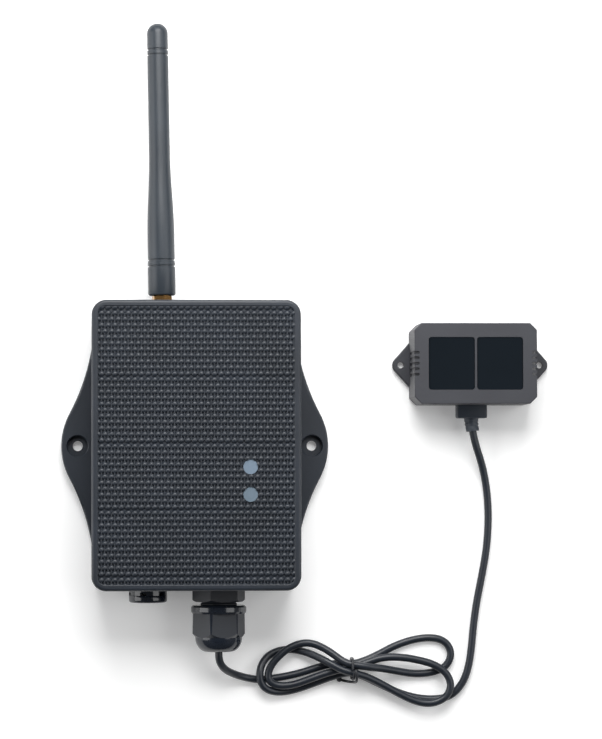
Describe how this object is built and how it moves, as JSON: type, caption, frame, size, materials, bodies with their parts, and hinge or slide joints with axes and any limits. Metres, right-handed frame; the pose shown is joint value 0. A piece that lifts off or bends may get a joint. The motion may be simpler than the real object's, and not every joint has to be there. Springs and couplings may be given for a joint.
{
  "type": "lidar distance sensor",
  "caption": "Battery radio box with wall flanges, whip antenna, vent and cord gland, wired to a separate lidar distance head with two dark windows.",
  "frame": {"origin": "midway between the two wall holes, in the plane of the box's back", "axes": "+X across the box to the right seen from the front, +Y towards the antenna, +Z out of the front cover"},
  "size_m": [0.2153, 0.3004, 0.039],
  "materials": {
    "case_abs": "fine moulded satin",
    "seal_rubber": "matt",
    "zinc_steel": "bright zinc",
    "gilt_brass": "gold flash, turned",
    "copper": "drawn",
    "antenna_rubber": "satin moulded",
    "gland_nylon": "moulded, half gloss",
    "membrane": "matt film",
    "dot_plastic": "frosted",
    "switch_body": "matt",
    "led_body": "satin",
    "board_laminate": "lacquered",
    "shield_can": "tinned",
    "cell_wrap": "shrink film",
    "wire_cover": "smooth",
    "head_abs": "fine moulded satin",
    "filter_window": "polished",
    "lens_glass": "polished",
    "cord_pvc": "smooth, half gloss",
    "tie_pvc": "smooth"
  },
  "bodies": {
    "sensor": {"rear_case": "case_abs", "front_cover": "case_abs", "case_gasket": "seal_rubber", "gland_gasket": "seal_rubber", "gland_seal": "seal_rubber", "vent_ring": "seal_rubber", "head_seal": "seal_rubber", "case_screws": "zinc_steel", "board_screws": "zinc_steel", "head_screws": "zinc_steel", "sma_connector": "gilt_brass", "sma_washer": "gilt_brass", "sma_nut": "gilt_brass", "emitter": "copper", "gland_body": "gland_nylon", "gland_locknut": "gland_nylon", "gland_claw": "gland_nylon", "vent_plug": "gland_nylon", "vent_cap": "gland_nylon", "vent_locknut": "gland_nylon", "vent_membrane": "membrane", "led_window": "dot_plastic", "button_switch": "switch_body", "terminal_block": "switch_body", "battery_socket": "switch_body", "battery_plug": "switch_body", "optic_block": "switch_body", "status_led": "led_body", "main_board": "board_laminate", "optic_board": "board_laminate", "radio_module": "shield_can", "coax_socket": "shield_can", "coax_plug": "shield_can", "detector": "shield_can", "main_cell": "cell_wrap", "pulse_cell": "cell_wrap", "battery_leads": "wire_cover", "cord_wires": "wire_cover", "coax_pigtail": "wire_cover", "head_front": "head_abs", "head_rear": "head_abs", "tx_window": "filter_window", "rx_window": "filter_window", "tx_lens": "lens_glass", "rx_lens": "lens_glass", "head_boot": "cord_pvc", "cord_in_gland": "cord_pvc", "cord_gland_run": "cord_pvc", "cord_hank": "cord_pvc", "cord_head_run": "cord_pvc", "hank_tie": "tie_pvc"},
    "antenna": {"antenna_sleeve": "antenna_rubber", "antenna_element": "copper", "antenna_coupling": "gilt_brass"},
    "gland_nut": {"gland_nut": "gland_nylon"},
    "button": {"act_button": "dot_plastic", "switch_plunger": "switch_body"}
  },
  "joints": [
    {"name": "antenna_turn", "type": "hinge", "parent": "sensor", "child": "antenna", "pos_m": [-0.0146, 0.06835, 0.0145], "axis": [-0.0175, 0.9998, 0], "range_deg": [0, 360]},
    {"name": "gland_nut_turn", "type": "hinge", "parent": "sensor", "child": "gland_nut", "pos_m": [0.0101, -0.0617, 0.0145], "axis": [0, -1, 0], "range_deg": [0, 360]},
    {"name": "button_press", "type": "slide", "parent": "sensor", "child": "button", "axis": [0, 0, -1], "range_m": [0, 0.0006], "stiffness_N_per_m": 2500}
  ]
}
